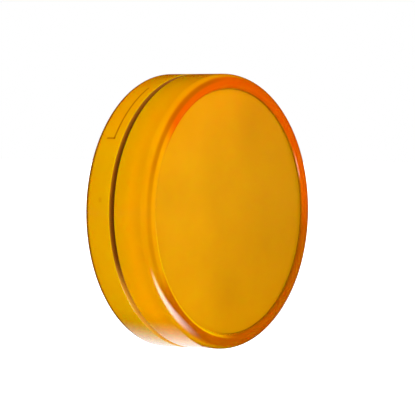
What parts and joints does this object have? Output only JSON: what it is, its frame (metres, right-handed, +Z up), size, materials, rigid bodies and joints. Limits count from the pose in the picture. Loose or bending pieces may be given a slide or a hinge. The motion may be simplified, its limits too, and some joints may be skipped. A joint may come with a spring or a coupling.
{
  "type": "indicator lens assembly",
  "caption": "Round amber lens of an illuminated push-button or pilot light: glossy cap that twists off a bayonet collar, over a blank legend plate and a diffuser.",
  "frame": {"origin": "centre of the rear plane, where the collar seats on the control head", "axes": "+Z up, as on an upright panel; the face looks along -Y; +Y points through the panel along the lens axis"},
  "size_m": [0.024, 0.0068, 0.024],
  "materials": {
    "amber_lens": "polished outside, frosted inside, see-through amber",
    "amber_collar": "polished, see-through amber",
    "silicone": "soft satin",
    "legend_film": "translucent milky matt",
    "frosted_diffuser": "frosted translucent",
    "white_nylon": "moulded matt"
  },
  "bodies": {
    "collar": {"bayonet_collar": "amber_collar"},
    "seal": {"seal_ring": "silicone"},
    "lens": {"front_lens": "amber_lens", "legend_plate": "legend_film", "diffuser_disc": "frosted_diffuser", "retaining_ring": "white_nylon"}
  },
  "joints": [
    {"name": "lens_rise", "type": "slide", "parent": "collar", "child": "seal", "axis": [0, -1, 0], "range_m": [0, 0.001]},
    {"name": "lens_turn", "type": "hinge", "parent": "seal", "child": "lens", "pos_m": [0, 0, 0], "axis": [0, -1, 0], "range_deg": [0, 60]}
  ],
  "couplings": [
    {"joint": "lens_turn", "follows": "lens_rise", "rad_per_m": 1047}
  ]
}
